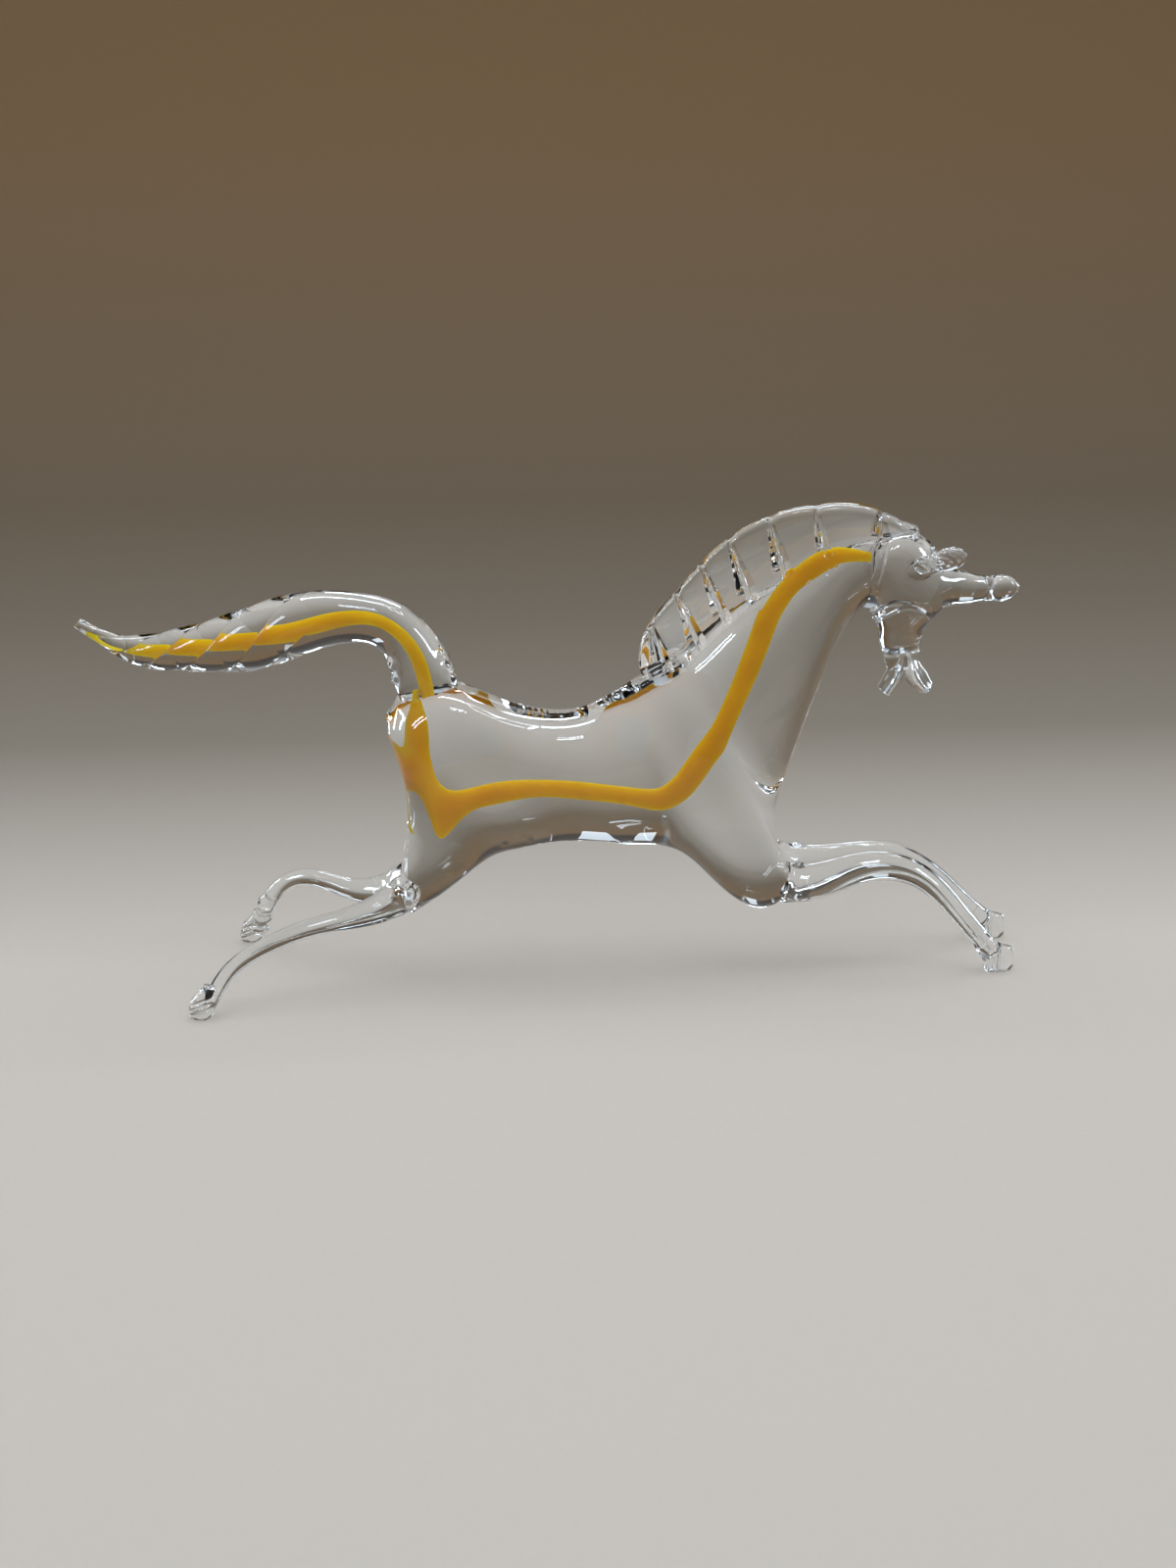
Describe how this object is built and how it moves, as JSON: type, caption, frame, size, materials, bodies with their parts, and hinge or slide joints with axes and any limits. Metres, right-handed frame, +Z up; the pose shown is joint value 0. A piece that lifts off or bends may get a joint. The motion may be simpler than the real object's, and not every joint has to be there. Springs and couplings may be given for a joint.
{
  "type": "horse figurine",
  "caption": "Galloping horse figurine of clear lampworked glass with an amber core, a pleated mane and a fluted tail; an ornament that stands free on its hooves.",
  "frame": {"origin": "under the middle of the bounding box, at the level of the hoof soles", "axes": "+X the way the horse runs, +Y its left side, +Z up"},
  "size_m": [0.202, 0.0468, 0.1018],
  "materials": {
    "clear_glass": "fire-polished, clear",
    "amber_glass": "fire-polished, translucent amber"
  },
  "bodies": {
    "root": {"body": "clear_glass", "body_core": "amber_glass", "head": "clear_glass", "mane": "clear_glass", "forelock": "clear_glass", "right_ear": "clear_glass", "left_ear": "clear_glass", "tail": "clear_glass", "tail_core": "amber_glass", "right_foreleg": "clear_glass", "left_foreleg": "clear_glass", "right_hind_leg": "clear_glass", "left_hind_leg": "clear_glass", "right_fore_hoof": "clear_glass", "left_fore_hoof": "clear_glass", "right_hind_hoof": "clear_glass", "left_hind_hoof": "clear_glass"}
  },
  "joints": []
}
